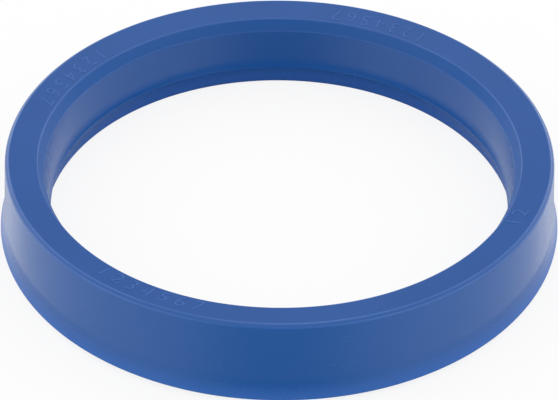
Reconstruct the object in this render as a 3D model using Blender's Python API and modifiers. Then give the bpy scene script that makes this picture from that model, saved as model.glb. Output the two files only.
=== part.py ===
"""Piston rod seal: a one-piece polyurethane U-cup for a 60 mm rod in a 70 mm housing groove.

Units are metres, +Z is up, and the ring's axis is the Z axis. The seal stands on its two
lip tips at z = 0 with its heel on top, as it would lie on a bench.

The section is drawn as a line round the cut face, rounded at its corners, and turned once
round the axis. Radii in the section are x, heights are z.
"""

from math import acos, atan2, cos, pi, radians, sin, tan

import bpy
from mathutils import Vector

# Housing and overall sizes
ROD_DIAMETER = 0.0600
SECTION_WIDTH = 0.0050  # radial room between the rod and the bottom of its groove
SEAL_HEIGHT = 0.0111
HEEL_CLEARANCE = 0.00005  # between the heel and the bottom of the groove, on the radius

# Heel
HEEL_DISH = 0.00073  # how far its face falls from the outer edge to the bore
HEEL_RIM_WIDTH = 0.00046  # small chamfer round the outer edge
HEEL_RIM_DEPTH = 0.00030
BORE_CHAMFER_WIDTH = 0.00085
BORE_CHAMFER_DEPTH = 0.00160

# Outer lip, which seals against the bottom of the groove
OUTER_WALL_DRAFT = 0.00045  # how far the wall leans out between the heel and the lip
OUTER_LIP_LENGTH = 0.0053
OUTER_LIP_SQUEEZE = 0.00150  # how far its sealing edge stands past the groove's radius
OUTER_EDGE_HEIGHT = 0.00125
OUTER_TIP_BEVEL = 0.00118
OUTER_TIP_LAND = 0.00070

# Inner lip, which wipes the rod
INNER_LIP_SQUEEZE = 0.00042  # how far its sealing edge stands inside the rod's radius
INNER_EDGE_HEIGHT = 0.00295
INNER_TIP_BEVEL = 0.00098
INNER_TIP_LAND = 0.00065

# Groove between the lips
GROOVE_DEPTH = 0.0058
GROOVE_ROOT_RADIUS = 0.00085
GROOVE_ROOT_OFFSET = 0.00005  # its root lies this far outside the middle of the section

# Rounding of the moulded corners
EDGE_ROUND = 0.00012
SEALING_EDGE_ROUND = 0.00018
LIP_ROOT_ROUND = 0.0090

# Facets
TURN_STEPS = 96
ROOT_STEPS = 8
EDGE_STEPS = 2
SHARP_ANGLE = radians(28)
MERGE_DISTANCE = 0.000001

COLLECTION = "piston_rod_seal"
NODE = "seal_ring"
SEAL_BLUE = (0.036, 0.105, 0.350, 1.0)
SEAL_ROUGHNESS = 0.38


def clear_scene():
    for obj in list(bpy.data.objects):
        bpy.data.objects.remove(obj, do_unlink=True)


def material():
    made = bpy.data.materials.new("blue_polyurethane")
    made.use_nodes = True
    shader = made.node_tree.nodes["Principled BSDF"]
    shader.inputs["Base Color"].default_value = SEAL_BLUE
    shader.inputs["Roughness"].default_value = SEAL_ROUGHNESS
    shader.inputs["Metallic"].default_value = 0.0
    made.diffuse_color = SEAL_BLUE
    return made


def rounded(before, corner, after, radius, steps):
    """Points of the arc that rounds a corner, from the side of before to the side of after."""
    to_before = (before - corner).normalized()
    to_after = (after - corner).normalized()
    half_angle = to_before.angle(to_after) / 2
    if radius <= 0 or pi / 2 - half_angle < radians(1):
        return [corner]
    room = 0.45 * min((before - corner).length, (after - corner).length)
    reach = min(radius / tan(half_angle), room)
    bisector = (to_before + to_after).normalized()
    centre = corner + bisector * (reach / cos(half_angle))
    arm = corner + to_before * reach - centre
    swing = pi - 2 * half_angle
    if to_before.cross(to_after) > 0:
        swing = -swing
    return [centre + turned(arm, swing * step / steps) for step in range(steps + 1)]


def turned(arm, angle):
    return Vector((
        arm.x * cos(angle) - arm.y * sin(angle),
        arm.x * sin(angle) + arm.y * cos(angle),
    ))


def tangent_angle(centre, radius, outside, side):
    """Direction from the centre to where a line from a point outside touches the circle."""
    line = outside - centre
    return atan2(line.y, line.x) + side * acos(radius / line.length)


def groove_root(outer_mouth, inner_mouth):
    """Points of the round root of the groove, from its outer flank to its inner one."""
    centre = Vector((
        ROD_DIAMETER / 2 + SECTION_WIDTH / 2 + GROOVE_ROOT_OFFSET,
        GROOVE_DEPTH - GROOVE_ROOT_RADIUS,
    ))
    start = tangent_angle(centre, GROOVE_ROOT_RADIUS, outer_mouth, 1)
    end = tangent_angle(centre, GROOVE_ROOT_RADIUS, inner_mouth, -1)
    end += 2 * pi * (end < start)
    angles = [start + (end - start) * step / ROOT_STEPS for step in range(ROOT_STEPS + 1)]
    return [centre + GROOVE_ROOT_RADIUS * Vector((cos(a), sin(a))) for a in angles]


def section():
    """The cut face's outline: down the outer side, round the groove and up the bore."""
    rod = ROD_DIAMETER / 2
    groove = rod + SECTION_WIDTH
    heel = groove - HEEL_CLEARANCE
    outer_edge = groove + OUTER_LIP_SQUEEZE
    outer_tip = outer_edge - OUTER_TIP_BEVEL
    inner_edge = rod - INNER_LIP_SQUEEZE
    inner_tip = inner_edge + INNER_TIP_BEVEL
    bore_top = SEAL_HEIGHT - HEEL_DISH

    outer_mouth = Vector((outer_tip - OUTER_TIP_LAND, 0))
    inner_mouth = Vector((inner_tip + INNER_TIP_LAND, 0))
    outer_side = [
        (heel - HEEL_RIM_WIDTH, SEAL_HEIGHT, 0),
        (heel, SEAL_HEIGHT - HEEL_RIM_DEPTH, EDGE_ROUND),
        (heel + OUTER_WALL_DRAFT, OUTER_LIP_LENGTH, LIP_ROOT_ROUND),
        (outer_edge, OUTER_EDGE_HEIGHT, SEALING_EDGE_ROUND),
        (outer_tip, 0, EDGE_ROUND),
        (outer_mouth.x, 0, EDGE_ROUND),
    ]
    bore_side = [
        (inner_mouth.x, 0, EDGE_ROUND),
        (inner_tip, 0, EDGE_ROUND),
        (inner_edge, INNER_EDGE_HEIGHT, SEALING_EDGE_ROUND),
        (rod, bore_top - BORE_CHAMFER_DEPTH, EDGE_ROUND),
        (rod + BORE_CHAMFER_WIDTH, bore_top, EDGE_ROUND),
    ]
    root = [(point.x, point.y, 0) for point in groove_root(outer_mouth, inner_mouth)]

    corners = outer_side + root + bore_side
    places = [Vector(corner[:2]) for corner in corners]
    outline = []
    for index, corner in enumerate(corners):
        before = places[index - 1]
        after = places[(index + 1) % len(places)]
        outline += rounded(before, places[index], after, corner[2], EDGE_STEPS)
    return outline


def turned_ring(name, outline, collection):
    """A closed outline in the XZ plane, turned once round the Z axis."""
    mesh = bpy.data.meshes.new(name)
    points = [(point.x, 0.0, point.y) for point in outline]
    edges = [(index, (index + 1) % len(points)) for index in range(len(points))]
    mesh.from_pydata(points, edges, [])
    ring = bpy.data.objects.new(name, mesh)
    collection.objects.link(ring)

    screw = ring.modifiers.new("turn", "SCREW")
    screw.axis = "Z"
    screw.angle = 2 * pi
    screw.steps = TURN_STEPS
    screw.render_steps = TURN_STEPS
    screw.use_merge_vertices = True
    screw.merge_threshold = MERGE_DISTANCE
    return ring


def main():
    clear_scene()
    collection = bpy.data.collections.new(COLLECTION)
    bpy.context.scene.collection.children.link(collection)

    ring = turned_ring(NODE, section(), collection)
    ring.data.materials.append(material())

    graph = bpy.context.evaluated_depsgraph_get()
    solid = bpy.data.meshes.new_from_object(ring.evaluated_get(graph))
    solid.name = NODE
    solid.shade_smooth()
    solid.set_sharp_from_angle(angle=SHARP_ANGLE)
    ring.modifiers.clear()
    ring.data = solid


main()
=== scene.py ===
"""Looks of a piston rod seal: a ring of blue polyurethane, moulded with a U-shaped section.

Run as a script in Blender 4.5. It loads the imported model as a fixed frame, registers an
add-on, and calls the add-on's operators, which model the moulded ring and the raised digits
on its heel, give them their finish and set up the stage. Units are metres, +Z is up, and the
ring's axis is the Z axis. Radii in the ring's section are x, heights are z.
"""

from math import acos, atan2, cos, pi, radians, sin, tan

import bmesh
import bpy
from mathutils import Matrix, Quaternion, Vector


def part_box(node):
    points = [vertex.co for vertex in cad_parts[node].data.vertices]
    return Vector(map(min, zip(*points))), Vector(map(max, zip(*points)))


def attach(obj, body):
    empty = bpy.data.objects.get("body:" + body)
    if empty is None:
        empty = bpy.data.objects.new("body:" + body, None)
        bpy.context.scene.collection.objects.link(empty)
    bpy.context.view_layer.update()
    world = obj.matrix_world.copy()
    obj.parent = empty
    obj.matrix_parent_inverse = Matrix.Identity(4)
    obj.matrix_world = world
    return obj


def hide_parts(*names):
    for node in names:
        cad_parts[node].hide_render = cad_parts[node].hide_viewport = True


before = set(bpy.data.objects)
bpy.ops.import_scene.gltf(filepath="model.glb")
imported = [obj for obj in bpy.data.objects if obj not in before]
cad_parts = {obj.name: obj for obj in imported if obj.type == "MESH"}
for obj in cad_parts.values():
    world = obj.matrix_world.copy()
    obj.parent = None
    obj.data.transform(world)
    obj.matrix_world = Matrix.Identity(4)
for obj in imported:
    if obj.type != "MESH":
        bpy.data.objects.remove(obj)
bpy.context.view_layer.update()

bl_info = {
    "name": "Piston rod seal",
    "version": (1, 0, 0),
    "blender": (4, 5, 0),
    "location": "3D View > Sidebar > Rod seal",
    "description": "Models a moulded polyurethane rod seal, its raised digits and a plain stage",
    "category": "Add Mesh",
}

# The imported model
CAD_NODE = "seal_ring"
BODY = "root"
CAD_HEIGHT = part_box(CAD_NODE)[1].z

# Pieces
RING_NAME = "moulded_ring"
DIGITS_NAME = "mould_digits"

# Facets
TURN_STEPS = 384
ROOT_STEPS = 20
EDGE_STEPS = 4
RIM_STEPS = 6
LIP_ROOT_STEPS = 6
DIGIT_CURVE_STEPS = 4
DIGIT_BEVEL_STEPS = 1
SMOOTH_ANGLE = radians(32)
MERGE_DISTANCE = 0.0000005
SAME_PLACE = 0.000002

# Edges of the section along which a painted highlight shows as a pale line, by strength
PAINTED_EDGE_HIGHLIGHTS = {"heel_edge": 0.9, "rim_edge": 0.8, "bore_top": 0.7, "bore_edge": 0.5}

# Noise at which such a painted highlight is weakest and strongest, and its share where it is
# weakest
EDGE_HIGHLIGHT_RANGE = (0.2, 0.7)
WEAKEST_EDGE_HIGHLIGHT = 0.4

# Noise at which the pigment's mottling begins and is full, and the gain and lift it gives
MOTTLE_RANGE = (0.35, 0.65)
MOTTLE_GAIN = 1.06
MOTTLE_LIFT = 0.001

# Noises of the finish: scale per metre, and detail
MOTTLE_NOISE = (90.0, 3.0)
EDGE_HIGHLIGHT_NOISE = (110.0, 3.0)
SMEAR_NOISE = (160.0, 4.0)
SPECKLE_NOISE = (2600.0, 1.0)
GRAIN_NOISE = (4200.0, 2.0)
TOOL_LINE_NOISE = (5200.0, 1.0)

POLYURETHANE_IOR = 1.50
WHITE = (1.0, 1.0, 1.0, 1.0)

# Sockets of a Mix node that mixes colours, and the distance between nodes in the editor
MIX_FACTOR, MIX_FIRST, MIX_SECOND, MIX_RESULT = 0, 6, 7, 2
NODE_SPACING = 200.0

# Runs of digits round the heel, by the angle of each run's middle from +X
DIGIT_RUNS = (
    (64.5, "1234567"),
    (151.0, "1234567"),
    (242.0, "1234567"),
    (334.0, "12"),
)

# Size of a text over the height of its digits
TEXT_OVER_DIGIT = 1.40

# Half the width of the band in which the light from behind turns into that from before
TURN_OVER = 0.05

FLOOR_SIDE = 6.0

# Where the camera looks, in x and y, on the level of the heel's edge
CAMERA_TARGET = (-0.0000336, -0.0116414)
CAMERA_CLIP_START = 0.01

# The photograph's frame in pixels
PHOTO_WIDTH = 558
SENSOR_WIDTH_MM = 36.0


def length(name, default, description):
    return bpy.props.FloatProperty(
        name=name,
        description=description,
        default=default,
        min=0.0,
        precision=5,
        subtype="DISTANCE",
        unit="LENGTH",
    )


def share(name, default, description, most=1.0):
    return bpy.props.FloatProperty(
        name=name,
        description=description,
        default=default,
        min=0.0,
        max=most,
        subtype="FACTOR",
    )


def colour(name, default, description):
    return bpy.props.FloatVectorProperty(
        name=name,
        description=description,
        default=default,
        size=3,
        min=0.0,
        max=1.0,
        subtype="COLOR",
    )


def angle(name, default, description):
    return bpy.props.FloatProperty(
        name=name,
        description=description,
        default=radians(default),
        subtype="ANGLE",
        unit="ROTATION",
    )


def power(name, default, description):
    return bpy.props.FloatProperty(
        name=name,
        description=description,
        default=default,
        min=0.0,
        unit="POWER",
    )


class RodSealSizes(bpy.types.PropertyGroup):
    """Sizes of the ring's section"""

    rod_diameter: length("Rod diameter", 0.0600, "Diameter of the rod that the seal runs on")
    section_width: length("Section width", 0.0050, "Room between the rod and its groove's bottom")
    seal_height: length("Height", CAD_HEIGHT, "From the lip tips to the heel's outer edge")
    heel_clearance: length("Heel clearance", 0.00005, "Between the heel and the groove's bottom")
    heel_dish: length("Heel dish", 0.00073, "How far the heel's face falls towards the bore")
    heel_rim_width: length("Heel rim width", 0.00046, "Width of the chamfer round the heel")
    heel_rim_depth: length("Heel rim depth", 0.00030, "Depth of the chamfer round the heel")
    bore_chamfer_width: length("Bore chamfer width", 0.00085, "Width of the bore's lead-in")
    bore_chamfer_depth: length("Bore chamfer depth", 0.00160, "Depth of the bore's lead-in")
    bore_clearance: length("Bore clearance", 0.00012, "Between the heel's bore and the rod")
    outer_wall_draft: length("Outer wall draft", 0.00061, "How far the outer wall leans out")
    outer_lip_length: length("Outer lip length", 0.0034, "Height where the outer lip flares")
    outer_lip_squeeze: length("Outer lip squeeze", 0.00129, "Outer lip past the groove's radius")
    outer_edge_height: length("Outer edge height", 0.00080, "Height of the outer sealing edge")
    outer_tip_bevel: length("Outer tip bevel", 0.00100, "Width of the bevel below that edge")
    outer_tip_land: length("Outer tip land", 0.00070, "Width of the outer lip's flat tip")
    inner_wall_draft: length("Inner wall draft", 0.00001, "How far the bore leans past the rod")
    inner_lip_length: length("Inner lip length", 0.0038, "Height where the inner lip turns in")
    inner_lip_squeeze: length("Inner lip squeeze", 0.00034, "Inner lip inside the rod's radius")
    inner_edge_height: length("Inner edge height", 0.00295, "Height of the inner sealing edge")
    inner_tip_bevel: length("Inner tip bevel", 0.00092, "Width of the bevel below that edge")
    inner_tip_land: length("Inner tip land", 0.00065, "Width of the inner lip's flat tip")
    groove_depth: length("Groove depth", 0.0058, "Depth of the groove between the lips")
    groove_root_radius: length("Groove root radius", 0.00085, "Radius of the groove's root")
    groove_root_offset: length("Groove root offset", 0.00005, "Root outside the section's middle")
    edge_round: length("Edge round", 0.00012, "Radius of the edges at the lip tips")
    heel_edge_round: length("Heel edge round", 0.00016, "Radius of the edges round the heel")
    rim_round: length("Rim round", 0.00040, "Radius where the heel's rim meets the wall")
    sealing_edge_round: length("Sealing edge round", 0.00018, "Radius of the sealing edges")
    lip_root_round: length("Lip root round", 0.0020, "Radius where the outer lip flares")
    inner_root_round: length("Inner root round", 0.0040, "Radius where the inner lip turns in")


class RodSealDigits(bpy.types.PropertyGroup):
    """Sizes of the raised digits"""

    digit_height: length("Digit height", 0.0021, "Height of a digit on the heel's face")
    digit_relief: length("Digit relief", 0.00005, "How far a digit stands above the heel")
    digit_radius: length("Digit radius", 0.03245, "Radius of the ring of digits")
    digit_spacing: length("Digit spacing", 0.00215, "From one digit to the next")
    digit_round: length("Digit round", 0.00004, "Bevel round a digit's face")
    stroke_thinning: length("Stroke thinning", 0.00006, "Taken off each side of a stroke")


class RodSealFinish(bpy.types.PropertyGroup):
    """Colours and gloss of the polyurethane"""

    body_colour: colour("Body colour", (0.0054, 0.0722, 0.2960), "Colour of the polyurethane")
    # Painted light: the walls get a brighter blue than the heel for the stronger light on them, and
    # the thin lips a purer blue for light passing through them
    wall_colour: colour("Wall colour", (0.0023, 0.0840, 0.3340), "Colour of the walls")
    lip_colour: colour("Lip colour", (0.0140, 0.1160, 0.4400), "Colour in the thin lips")
    # Painted highlight: a paler blue along each crisp edge
    edge_colour: colour("Edge colour", (0.0420, 0.1420, 0.4500), "Colour along the crisp edges")
    # Painted highlight: the digits get a paler blue for the light their raised strokes catch
    digit_colour: colour("Digit colour", (0.0220, 0.1080, 0.3800), "Colour of the raised digits")
    # Reach of that painted highlight from its edge
    edge_line_width: length("Edge line width", 0.00020, "Reach of the pale line at an edge")
    gloss_roughness: share("Roughness", 0.26, "Roughness of the moulded surface")
    roughness_spread: share("Roughness spread", 0.04, "How much the roughness varies")
    lip_roughness: share("Lip roughness", 0.16, "How much rougher the trimmed lips are")
    trim_roughness: share("Trim roughness", 0.38, "How much rougher the bore's lead-in is")
    trim_sheen: share("Trim sheen", 0.42, "Strength of the sheen on the bore's lead-in")
    edge_sheen: share("Edge sheen", 1.00, "Strength of the sheen on the crisp edges")
    sheen_roughness: share("Sheen roughness", 0.60, "Roughness of that sheen")
    sheen_ior: bpy.props.FloatProperty(
        name="Sheen IOR",
        description="Refractive index of that sheen",
        default=1.80,
        min=1.0,
    )
    sheen_from: share("Sheen from", 0.25, "Slant of a look at a surface where its sheen begins")
    sheen_to: share("Sheen to", 0.60, "Slant of a look at a surface where its sheen is full")
    grain_height: length("Grain height", 0.00000015, "Height of the mould's fine grain")
    tool_line_height: length("Tool line height", 0.0000004, "Height of the mould's tool lines")


class RodSealStage(bpy.types.PropertyGroup):
    """Floor, lights and camera"""

    floor_colour: colour("Floor colour", (0.90, 0.90, 0.90), "Colour of the pale floor")
    # Painted shade: the floor is darker in reflections than to the eye, for the shade on it round
    # and under the ring
    floor_in_gloss: colour("Floor in gloss", (0.30, 0.30, 0.30), "Its colour in reflections")
    floor_sheen: share("Floor sheen", 0.80, "How much of the floor's light is its sheen")
    floor_sheen_from: share("Floor sheen from", 0.10, "Slant of a look where it begins")
    floor_sheen_to: share("Floor sheen to", 0.40, "Slant of a look where it is full")
    floor_roughness: share("Floor roughness", 0.25, "Roughness of the floor's sheen")
    shadow_share: share("Shadow share", 0.15, "How much of the ring's shadow the camera sees")
    side_level: share("Side level", 1.50, "Strength of the light from the sides", 4.0)
    front_level: share("Front level", 0.15, "Strength of the light from before the ring", 4.0)
    front_from: angle("Front from", 8.0, "How far from straight before the light begins to grow")
    front_to: angle("Front to", 52.0, "How far from straight before it is at its side level")
    back_level: share("Back level", 0.48, "Strength of the light from behind the ring", 4.0)
    back_from: angle("Back from", 4.0, "How far from straight behind the light begins to grow")
    back_to: angle("Back to", 36.0, "How far from straight behind it is at its side level")
    overhead_level: share("Overhead level", 1.00, "Strength of the light from above", 4.0)
    overhead_from: angle("Overhead from", 26.0, "Elevation where the light from above begins")
    overhead_to: angle("Overhead to", 64.0, "Elevation from which it is all the light")
    softbox_power: power("Softbox power", 0.20, "Of each of the two softboxes behind the ring")
    softbox_side: length("Softbox side", 0.40, "Length of each side of a softbox")
    softbox_distance: length("Softbox distance", 1.0, "From the ring to each softbox")
    softbox_spread: angle("Softbox spread", 40.0, "From straight behind the ring to each softbox")
    softbox_elevation: angle("Softbox elevation", 26.0, "Angle of a softbox above the floor")
    camera_distance: length("Camera distance", 0.24247, "From the camera to the heel's centre")
    camera_elevation: angle("Camera elevation", 36.263, "Angle of the camera above the heel")
    camera_roll: angle("Camera roll", 0.447, "Turn of the camera about its own axis")
    focal_length_px: bpy.props.FloatProperty(
        name="Focal length in pixels",
        description="Focal length in pixels of the photograph's width",
        default=1895.7,
        min=100.0,
    )


class Wire:
    """An output of a node. Arithmetic on it adds the Math nodes that work it out."""

    def __init__(self, graph, socket):
        self.graph = graph
        self.socket = socket

    def math(self, operation, *values):
        return self.graph.node("ShaderNodeMath", {"operation": operation}, dict(enumerate(values)))

    def __add__(self, other):
        return self.math("ADD", self, other)

    def __radd__(self, other):
        return self.math("ADD", other, self)

    def __sub__(self, other):
        return self.math("SUBTRACT", self, other)

    def __rsub__(self, other):
        return self.math("SUBTRACT", other, self)

    def __mul__(self, other):
        return self.math("MULTIPLY", self, other)

    def __rmul__(self, other):
        return self.math("MULTIPLY", other, self)

    def __truediv__(self, other):
        return self.math("DIVIDE", self, other)

    def __pow__(self, other):
        return self.math("POWER", self, other)

    def __abs__(self):
        return self.math("ABSOLUTE", self)


class Graph:
    """A node tree that is being built."""

    def __init__(self, tree):
        self.tree = tree
        self.tree.nodes.clear()

    def node(self, kind, settings=None, inputs=None, output=0):
        """Adds a node, sets it up, feeds its sockets, and gives back one of its outputs."""
        added = self.tree.nodes.new(kind)
        added.location.x = NODE_SPACING * len(self.tree.nodes)
        for name, value in (settings or {}).items():
            setattr(added, name, value)
        for name, value in (inputs or {}).items():
            if isinstance(value, Wire):
                self.tree.links.new(value.socket, added.inputs[name])
            else:
                added.inputs[name].default_value = value
        return Wire(self, added.outputs[output]) if added.outputs else None

    def split(self, vector):
        """The x, y and z of a vector."""
        parts = self.node("ShaderNodeSeparateXYZ", inputs={"Vector": vector})
        return [Wire(self, socket) for socket in parts.socket.node.outputs]

    def mix(self, factor, first, second):
        """A colour between two others."""
        inputs = {MIX_FACTOR: factor, MIX_FIRST: first, MIX_SECOND: second}
        return self.node("ShaderNodeMix", {"data_type": "RGBA"}, inputs, MIX_RESULT)

    def mix_shaders(self, factor, first, second):
        """A surface between two others."""
        return self.node("ShaderNodeMixShader", inputs={0: factor, 1: first, 2: second})

    def smooth_step(self, value, low, high):
        """0 below low, 1 above high and smooth between them."""
        settings = {"interpolation_type": "SMOOTHSTEP"}
        inputs = {"Value": value, "From Min": low, "From Max": high}
        return self.node("ShaderNodeMapRange", settings, inputs)

    def slanting(self, low, high):
        """0 where a surface is looked at straight on, 1 where the look's slant is above high."""
        slant = self.node("ShaderNodeLayerWeight", inputs={"Blend": 0.5}, output="Facing")
        return self.smooth_step(slant, low, high)

    def ray(self, kind):
        """1 for rays of one kind, such as what the camera sees straight on, and 0 for others."""
        return self.node("ShaderNodeLightPath", output=kind)

    def noise(self, place, scale, detail, dimensions="3D"):
        settings = {"noise_dimensions": dimensions}
        inputs = {"Vector": place, "Scale": scale, "Detail": detail}
        return self.node("ShaderNodeTexNoise", settings, inputs)


def with_alpha(rgb):
    return (*rgb, 1.0)


def new_graph(owner):
    owner.use_nodes = True
    return Graph(owner.node_tree)


def section_point(radius, height):
    return Vector((radius, 0.0, height))


def section_corners(sizes):
    """The corners of the ring's section, by name, and the centre of its groove's root."""
    rod = sizes.rod_diameter / 2
    groove = rod + sizes.section_width
    heel = groove - sizes.heel_clearance
    outer_edge = groove + sizes.outer_lip_squeeze
    outer_tip = outer_edge - sizes.outer_tip_bevel
    inner_edge = rod - sizes.inner_lip_squeeze
    inner_tip = inner_edge + sizes.inner_tip_bevel
    top = sizes.seal_height
    bore_top = top - sizes.heel_dish
    root_radius = rod + sizes.section_width / 2 + sizes.groove_root_offset
    return {
        "heel_edge": section_point(heel - sizes.heel_rim_width, top),
        "rim_edge": section_point(heel, top - sizes.heel_rim_depth),
        "lip_root": section_point(heel + sizes.outer_wall_draft, sizes.outer_lip_length),
        "outer_edge": section_point(outer_edge, sizes.outer_edge_height),
        "outer_tip": section_point(outer_tip, 0),
        "outer_mouth": section_point(outer_tip - sizes.outer_tip_land, 0),
        "groove_root": section_point(root_radius, sizes.groove_depth - sizes.groove_root_radius),
        "inner_mouth": section_point(inner_tip + sizes.inner_tip_land, 0),
        "inner_tip": section_point(inner_tip, 0),
        "inner_edge": section_point(inner_edge, sizes.inner_edge_height),
        "inner_root": section_point(rod - sizes.inner_wall_draft, sizes.inner_lip_length),
        "bore_edge": section_point(
            rod + sizes.bore_clearance, bore_top - sizes.bore_chamfer_depth
        ),
        "bore_top": section_point(rod + sizes.bore_chamfer_width, bore_top),
    }


def section_zones(graph, radius, z, corners, sizes):
    """Masks of the thin lips, of the walls beside the heel and of the bore's lead-in."""
    heel_edge, rim_edge = corners["heel_edge"], corners["rim_edge"]
    bore_edge, bore_top = corners["bore_edge"], corners["bore_top"]
    blend = sizes.edge_round
    in_lip = 1 - graph.smooth_step(z, sizes.outer_edge_height, sizes.inner_edge_height)
    below_heel = 1 - graph.smooth_step(z, bore_top.z - blend, bore_top.z)
    outside_heel = graph.smooth_step(radius, heel_edge.x, rim_edge.x)
    on_wall = below_heel + outside_heel * (1 - below_heel)
    above_bore = graph.smooth_step(z, bore_edge.z - blend, bore_edge.z + blend)
    on_trim = above_bore * (1 - graph.smooth_step(radius, bore_top.x - blend, bore_top.x))
    return in_lip, on_wall, on_trim


def nearness(graph, radius, z, corner, reach):
    """1 along an edge of the ring, given by its corner in the section, and 0 past its reach."""
    off_radius = radius - corner.x
    off_height = z - corner.z
    distance = (off_radius * off_radius + off_height * off_height) ** 0.5
    return 1 - graph.smooth_step(distance, 0.0, reach)


def mould_relief(graph, place, radius, z, finish):
    """Normals of the mould's turned tool lines, which run round the ring, and its fine grain."""
    in_section = graph.node("ShaderNodeCombineXYZ", inputs={"X": radius, "Y": z})
    lines = graph.noise(in_section, *TOOL_LINE_NOISE, "2D")
    grain = graph.noise(place, *GRAIN_NOISE)
    relief = lines * finish.tool_line_height + grain * finish.grain_height
    inputs = {"Strength": 1.0, "Distance": 1.0, "Height": relief}
    return graph.node("ShaderNodeBump", inputs=inputs)


def polyurethane(name, body_colour, finish, sizes):
    """Moulded polyurethane: an even blue, semi-gloss, with the mould's grain and tool lines, and
    painted light: a brighter blue on the walls and in the lips, and painted highlights along the
    crisp edges.
    """
    made = bpy.data.materials.new(name)
    graph = new_graph(made)
    place = graph.node("ShaderNodeTexCoord", output="Object")
    x, y, z = graph.split(place)
    radius = (x * x + y * y) ** 0.5
    corners = section_corners(sizes)
    in_lip, on_wall, on_trim = section_zones(graph, radius, z, corners, sizes)

    # Colour: slow mottling of the pigment, and a brighter blue down the walls and in the lips,
    # which is painted light: more light on the walls and light through the thin lips
    mottle = graph.smooth_step(graph.noise(place, *MOTTLE_NOISE), *MOTTLE_RANGE)
    pale = tuple(channel * MOTTLE_GAIN + MOTTLE_LIFT for channel in body_colour)
    body = graph.mix(mottle, with_alpha(body_colour), with_alpha(pale))
    body = graph.mix(on_wall, body, with_alpha(finish.wall_colour))
    body = graph.mix(in_lip, body, with_alpha(finish.lip_colour))

    # Edges: a painted highlight, a paler line along each edge that the mould leaves crisp, stronger
    # here and there
    edge_highlight = sum(
        nearness(graph, radius, z, corners[edge], finish.edge_line_width) * strength
        for edge, strength in PAINTED_EDGE_HIGHLIGHTS.items()
    )
    highlight_strength = graph.smooth_step(graph.noise(place, *EDGE_HIGHLIGHT_NOISE), *EDGE_HIGHLIGHT_RANGE)
    edge_highlight = edge_highlight * (WEAKEST_EDGE_HIGHLIGHT + (1 - WEAKEST_EDGE_HIGHLIGHT) * highlight_strength)
    base = graph.mix(edge_highlight, body, with_alpha(finish.edge_colour))

    # Roughness: smears of the release agent and a fine satin speckle
    smears = graph.noise(place, *SMEAR_NOISE)
    speckle = graph.noise(place, *SPECKLE_NOISE)
    roughness = finish.gloss_roughness + finish.roughness_spread * (smears + speckle - 1.0)
    roughness = roughness + in_lip * finish.lip_roughness + on_trim * finish.trim_roughness

    # Sheen: the trimmed lead-in and the crisp edges turn paler where they are looked along
    slanting = graph.slanting(finish.sheen_from, finish.sheen_to)
    sheen = slanting * (on_trim * finish.trim_sheen + edge_highlight * finish.edge_sheen)

    shader = graph.node(
        "ShaderNodeBsdfPrincipled",
        inputs={
            "Base Color": base,
            "Roughness": roughness,
            "IOR": POLYURETHANE_IOR,
            "Coat Weight": sheen,
            "Coat Roughness": finish.sheen_roughness,
            "Coat IOR": finish.sheen_ior,
            "Normal": mould_relief(graph, place, radius, z, finish),
        },
    )
    graph.node("ShaderNodeOutputMaterial", inputs={"Surface": shader})
    made.diffuse_color = with_alpha(body_colour)
    return made


def deselect_all():
    if bpy.context.mode != "OBJECT":
        bpy.ops.object.mode_set(mode="OBJECT")
    bpy.ops.object.select_all(action="DESELECT")


def make_active(obj):
    deselect_all()
    obj.select_set(True)
    bpy.context.view_layer.objects.active = obj


def select_vertices(obj, keep):
    """Selects, in edit mode, the vertices for which keep is true."""
    bpy.ops.mesh.select_all(action="DESELECT")
    shape = bmesh.from_edit_mesh(obj.data)
    for vertex in shape.verts:
        vertex.select = keep(vertex)
    shape.select_flush_mode()
    bmesh.update_edit_mesh(obj.data)


def start_line(name, place):
    """An object in edit mode with one vertex, at the first corner of a line."""
    deselect_all()
    bpy.ops.mesh.primitive_plane_add(size=MERGE_DISTANCE, location=place)
    obj = bpy.context.object
    obj.name = name
    obj.data.name = name
    bpy.ops.object.transform_apply(location=True, rotation=True, scale=True)
    bpy.ops.object.mode_set(mode="EDIT")
    bpy.ops.mesh.select_all(action="SELECT")
    bpy.ops.mesh.merge(type="CENTER")
    return obj


def extrude_line(obj, *places):
    """Extrudes the line's last vertex, the one selected, to each place in turn."""
    for place in places:
        shape = bmesh.from_edit_mesh(obj.data)
        end = next(vertex.co.copy() for vertex in shape.verts if vertex.select)
        bpy.ops.mesh.extrude_vertices_move(TRANSFORM_OT_translate={"value": place - end})


def tangent_angle(centre, radius, outside, side):
    """Direction from the centre to where a line from a point outside touches the circle."""
    line = outside - centre
    return atan2(line.z, line.x) + side * acos(radius / line.length)


def swing_line(centre, swing, steps):
    """Carries the line on round a centre, anticlockwise with x to the right and z up."""
    bpy.ops.mesh.spin(steps=steps, angle=swing, center=centre, axis=(0, 1, 0))


def round_corner(obj, before, corner, after, radius, steps):
    """Bevels the vertex at a corner of the line into an arc."""
    half_angle = (before - corner).angle(after - corner) / 2
    select_vertices(obj, lambda vertex: (vertex.co - corner).length < SAME_PLACE)
    bpy.ops.mesh.bevel(
        offset_type="OFFSET",
        offset=radius / tan(half_angle),
        segments=steps,
        affect="VERTICES",
    )


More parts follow.
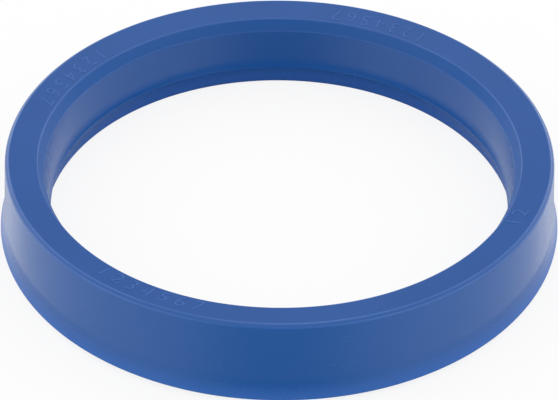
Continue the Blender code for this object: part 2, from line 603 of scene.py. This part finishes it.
def draw_section(name, sizes):
    """The section's outline as one closed line: down the outside, round the groove, up the bore."""
    corners = section_corners(sizes)
    edge = (sizes.edge_round, EDGE_STEPS)
    sealing = (sizes.sealing_edge_round, EDGE_STEPS)
    heel_edge = (sizes.heel_edge_round, EDGE_STEPS)
    rim_edge = (sizes.rim_round, RIM_STEPS)
    lip_root = (sizes.lip_root_round, LIP_ROOT_STEPS)
    inner_root = (sizes.inner_root_round, LIP_ROOT_STEPS)
    sharp = (0.0, 0)
    outer_side = {
        "heel_edge": heel_edge,
        "rim_edge": rim_edge,
        "lip_root": lip_root,
        "outer_edge": sealing,
        "outer_tip": edge,
        "outer_mouth": edge,
    }
    bore_side = {
        "inner_mouth": edge,
        "inner_tip": edge,
        "inner_edge": sealing,
        "inner_root": inner_root,
        "bore_edge": heel_edge,
        "bore_top": heel_edge,
    }

    root_radius = sizes.groove_root_radius
    root = corners["groove_root"]
    root_start = tangent_angle(root, root_radius, corners["outer_mouth"], 1)
    root_end = tangent_angle(root, root_radius, corners["inner_mouth"], -1)
    root_end += 2 * pi * (root_end < root_start)
    root_entry = root + root_radius * section_point(cos(root_start), sin(root_start))
    root_exit = root + root_radius * section_point(cos(root_end), sin(root_end))

    first, *others = (corners[name] for name in outer_side)
    line = start_line(name, first)
    extrude_line(line, *others, root_entry)
    swing_line(root, root_end - root_start, ROOT_STEPS)
    extrude_line(line, *(corners[name] for name in bore_side))
    select_vertices(line, lambda vertex: len(vertex.link_edges) == 1)
    bpy.ops.mesh.edge_face_add()

    places = [corners[name] for name in outer_side]
    places += [root_entry, root_exit]
    places += [corners[name] for name in bore_side]
    rounds = [*outer_side.values(), sharp, sharp, *bore_side.values()]
    for index, (radius, steps) in enumerate(rounds):
        if radius > 0:
            after = places[(index + 1) % len(places)]
            round_corner(line, places[index - 1], places[index], after, radius, steps)
    return line


def turn_section(obj):
    """Spins the closed line once round the Z axis into a solid ring."""
    bpy.ops.mesh.select_all(action="SELECT")
    bpy.ops.mesh.spin(steps=TURN_STEPS, angle=2 * pi, center=(0, 0, 0), axis=(0, 0, 1))
    bpy.ops.mesh.select_all(action="SELECT")
    bpy.ops.mesh.remove_doubles(threshold=MERGE_DISTANCE)
    bpy.ops.mesh.normals_make_consistent(inside=False)
    bpy.ops.object.mode_set(mode="OBJECT")


def smooth(obj):
    """Smooth shading whose normals follow the large faces, so flats stay flat beside rounds."""
    make_active(obj)
    bpy.ops.object.shade_smooth_by_angle(angle=SMOOTH_ANGLE)
    weighted = obj.modifiers.new("flat_faces", "WEIGHTED_NORMAL")
    weighted.keep_sharp = True
    bpy.ops.object.modifier_apply(modifier=weighted.name)


def place_on_heel(glyph, turn, digits, sizes):
    """Stands a copied digit on the dished heel, its top towards the bore."""
    rod = sizes.rod_diameter / 2
    face_outer = rod + sizes.section_width - sizes.heel_clearance - sizes.heel_rim_width
    face_width = face_outer - rod - sizes.bore_chamfer_width
    slope = atan2(sizes.heel_dish, face_width)
    height = sizes.seal_height - tan(slope) * (face_outer - digits.digit_radius)
    glyph.location = (
        digits.digit_radius * cos(turn),
        digits.digit_radius * sin(turn),
        height,
    )
    glyph.rotation_euler = (-slope, 0.0, turn + pi / 2)


def model_digit(character, digits):
    """One digit as a closed mesh, half sunk below its own origin."""
    deselect_all()
    bpy.ops.object.text_add(location=(0, 0, 0))
    glyph = bpy.context.object
    text = glyph.data
    text.body = character
    text.align_x = "CENTER"
    text.align_y = "CENTER"
    text.size = digits.digit_height * TEXT_OVER_DIGIT
    text.offset = -digits.stroke_thinning
    text.bevel_depth = digits.digit_round
    text.bevel_resolution = DIGIT_BEVEL_STEPS
    text.extrude = digits.digit_relief - digits.digit_round
    text.resolution_u = DIGIT_CURVE_STEPS
    bpy.ops.object.convert(target="MESH")
    glyph = bpy.context.object
    bpy.ops.object.transform_apply(location=True, rotation=True, scale=True)
    bpy.ops.object.mode_set(mode="EDIT")
    bpy.ops.mesh.select_all(action="SELECT")
    bpy.ops.mesh.remove_doubles(threshold=MERGE_DISTANCE)
    bpy.ops.mesh.normals_make_consistent(inside=False)
    bpy.ops.object.mode_set(mode="OBJECT")
    return glyph


def copy_digit(pattern, turn, digits, sizes):
    """A copy of a digit with its own mesh, on the heel at a turn from +X."""
    make_active(pattern)
    bpy.ops.object.duplicate(linked=False)
    copied = bpy.context.object
    place_on_heel(copied, turn, digits, sizes)
    return copied


def join(pieces, name):
    """Joins pieces into one object that holds their places in its mesh."""
    make_active(pieces[0])
    for piece in pieces:
        piece.select_set(True)
    bpy.ops.object.join()
    bpy.ops.object.transform_apply(location=True, rotation=True, scale=True)
    joined = bpy.context.object
    joined.name = name
    joined.data.name = name
    return joined


def aim(obj, place, target, roll=0.0):
    """Puts an object at a place, facing a target, turned about its own axis by roll."""
    obj.location = place
    facing = (Vector(target) - Vector(place)).to_track_quat("-Z", "Y")
    obj.rotation_mode = "QUATERNION"
    obj.rotation_quaternion = facing @ Quaternion((0, 0, 1), roll)


def add_softbox(name, turn, stage):
    """A soft square lamp that faces the ring, at a turn from +X."""
    rise = stage.softbox_elevation
    direction = Vector((cos(rise) * cos(turn), cos(rise) * sin(turn), sin(rise)))
    place = stage.softbox_distance * direction
    deselect_all()
    bpy.ops.object.light_add(type="AREA", location=place)
    lamp = bpy.context.object
    lamp.name = name
    lamp.data.shape = "SQUARE"
    lamp.data.size = stage.softbox_side
    lamp.data.energy = stage.softbox_power
    aim(lamp, place, (0, 0, CAD_HEIGHT / 2))


def add_camera(stage, top):
    """The camera, set up as the photograph's, before the ring and above its heel."""
    bpy.ops.object.camera_add()
    camera = bpy.context.object
    camera.name = "photo_camera"
    camera.data.sensor_width = SENSOR_WIDTH_MM
    camera.data.lens = stage.focal_length_px * SENSOR_WIDTH_MM / PHOTO_WIDTH
    camera.data.clip_start = CAMERA_CLIP_START
    rise = stage.camera_elevation
    place = Vector((0, -cos(rise), sin(rise))) * stage.camera_distance
    place.z += top
    aim(camera, place, (*CAMERA_TARGET, top), stage.camera_roll)
    return camera


def floor_material(stage):
    """Pale satin floor: near white to the camera, with the ring's soft shadow on it."""
    made = bpy.data.materials.new("pale_floor")
    graph = new_graph(made)
    to_camera = graph.ray("Is Camera Ray")
    to_gloss = graph.ray("Is Glossy Ray")
    # Painted shade: in reflections the floor is darker, for the shade on it round and under the
    # ring
    shaded_in_gloss = with_alpha(stage.floor_in_gloss)
    plain = graph.mix(to_gloss, with_alpha(stage.floor_colour), shaded_in_gloss)
    matt = graph.node("ShaderNodeBsdfDiffuse", inputs={"Color": plain})
    sheen = graph.node(
        "ShaderNodeBsdfGlossy",
        inputs={"Color": with_alpha(stage.floor_colour), "Roughness": stage.floor_roughness},
    )
    slanting = graph.slanting(stage.floor_sheen_from, stage.floor_sheen_to)
    satin = graph.mix_shaders(to_gloss * slanting * stage.floor_sheen, matt, sheen)
    white = graph.node("ShaderNodeEmission", inputs={"Color": WHITE, "Strength": 1.0})
    mixed = graph.mix_shaders(to_camera * (1 - stage.shadow_share), satin, white)
    graph.node("ShaderNodeOutputMaterial", inputs={"Surface": mixed})
    return made


def light_world(scene, stage):
    """Soft light from the sides and from above, dim straight before and behind the ring."""
    world = bpy.data.worlds.new("studio")
    scene.world = world
    graph = new_graph(world)
    x, y, z = graph.split(graph.node("ShaderNodeTexCoord", output="Generated"))

    sideways = abs(x) / (x * x + y * y) ** 0.5
    beside_front = graph.smooth_step(sideways, sin(stage.front_from), sin(stage.front_to))
    beside_back = graph.smooth_step(sideways, sin(stage.back_from), sin(stage.back_to))
    front = stage.front_level + (stage.side_level - stage.front_level) * beside_front
    back = stage.back_level + (stage.side_level - stage.back_level) * beside_back
    around = front + (back - front) * graph.smooth_step(y, -TURN_OVER, TURN_OVER)
    above = graph.smooth_step(z, sin(stage.overhead_from), sin(stage.overhead_to))
    level = around + (stage.overhead_level - around) * above

    to_camera = graph.ray("Is Camera Ray")
    background = graph.node(
        "ShaderNodeBackground",
        inputs={"Color": WHITE, "Strength": to_camera + (1 - to_camera) * level},
    )
    graph.node("ShaderNodeOutputWorld", inputs={"Surface": background})


class ROD_SEAL_OT_moulded_ring(bpy.types.Operator):
    """Model the moulded ring from its section"""

    bl_idname = "rod_seal.moulded_ring"
    bl_label = "Moulded ring"

    def execute(self, context):
        finish = context.scene.rod_seal_finish
        sizes = context.scene.rod_seal_sizes
        ring = draw_section(RING_NAME, sizes)
        turn_section(ring)
        smooth(ring)
        blue = polyurethane("blue_polyurethane", finish.body_colour, finish, sizes)
        ring.data.materials.append(blue)
        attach(ring, BODY)
        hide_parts(CAD_NODE)
        return {"FINISHED"}


class ROD_SEAL_OT_mould_digits(bpy.types.Operator):
    """Model the raised digits that stand in runs round the heel"""

    bl_idname = "rod_seal.mould_digits"
    bl_label = "Mould digits"

    def execute(self, context):
        digits = context.scene.rod_seal_digits
        finish = context.scene.rod_seal_finish
        sizes = context.scene.rod_seal_sizes
        characters = sorted({character for _, run in DIGIT_RUNS for character in run})
        patterns = {character: model_digit(character, digits) for character in characters}
        step = digits.digit_spacing / digits.digit_radius
        copies = []
        for middle, run in DIGIT_RUNS:
            for index, character in enumerate(run):
                turn = radians(middle) + step * (index - (len(run) - 1) / 2)
                copies.append(copy_digit(patterns[character], turn, digits, sizes))
        for pattern in patterns.values():
            bpy.data.objects.remove(pattern)
        marks = join(copies, DIGITS_NAME)
        make_active(marks)
        bpy.ops.object.shade_smooth_by_angle(angle=SMOOTH_ANGLE)
        # The digits' paler blue is a painted highlight for the light their raised strokes catch
        highlit_digit_blue = polyurethane("digit_polyurethane", finish.digit_colour, finish, sizes)
        marks.data.materials.append(highlit_digit_blue)
        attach(marks, BODY)
        return {"FINISHED"}


class ROD_SEAL_OT_stage(bpy.types.Operator):
    """Set up the pale floor, the soft lights and the camera"""

    bl_idname = "rod_seal.stage"
    bl_label = "Stage"

    def execute(self, context):
        scene = context.scene
        stage = scene.rod_seal_stage
        deselect_all()
        bpy.ops.mesh.primitive_plane_add(size=FLOOR_SIDE, location=(0, 0, 0))
        floor = context.object
        floor.name = "floor"
        floor.data.materials.append(floor_material(stage))
        light_world(scene, stage)
        add_softbox("left_softbox", pi / 2 + stage.softbox_spread, stage)
        add_softbox("right_softbox", pi / 2 - stage.softbox_spread, stage)

        camera = add_camera(stage, scene.rod_seal_sizes.seal_height)
        bpy.context.scene.camera = camera
        scene.view_settings.view_transform = "Standard"
        return {"FINISHED"}


class ROD_SEAL_PT_panel(bpy.types.Panel):
    """Lists the seal's operators and settings"""

    bl_idname = "ROD_SEAL_PT_panel"
    bl_label = "Rod seal"
    bl_space_type = "VIEW_3D"
    bl_region_type = "UI"
    bl_category = "Rod seal"

    def draw(self, context):
        for operator in OPERATORS:
            self.layout.operator(operator.bl_idname)
        for name in SETTINGS:
            group = getattr(context.scene, name)
            box = self.layout.box()
            for row in group.bl_rna.properties:
                if row.identifier in type(group).__annotations__:
                    box.prop(group, row.identifier)


OPERATORS = (ROD_SEAL_OT_moulded_ring, ROD_SEAL_OT_mould_digits, ROD_SEAL_OT_stage)
SETTINGS = {
    "rod_seal_sizes": RodSealSizes,
    "rod_seal_digits": RodSealDigits,
    "rod_seal_finish": RodSealFinish,
    "rod_seal_stage": RodSealStage,
}


def register():
    for group in (*SETTINGS.values(), *OPERATORS, ROD_SEAL_PT_panel):
        bpy.utils.register_class(group)
    for name, group in SETTINGS.items():
        setattr(bpy.types.Scene, name, bpy.props.PointerProperty(type=group))


def unregister():
    for name in SETTINGS:
        delattr(bpy.types.Scene, name)
    for group in (ROD_SEAL_PT_panel, *reversed(OPERATORS), *reversed(SETTINGS.values())):
        bpy.utils.unregister_class(group)


def main():
    register()
    bpy.ops.rod_seal.moulded_ring()
    bpy.ops.rod_seal.mould_digits()
    bpy.ops.rod_seal.stage()


if __name__ == "__main__":
    main()
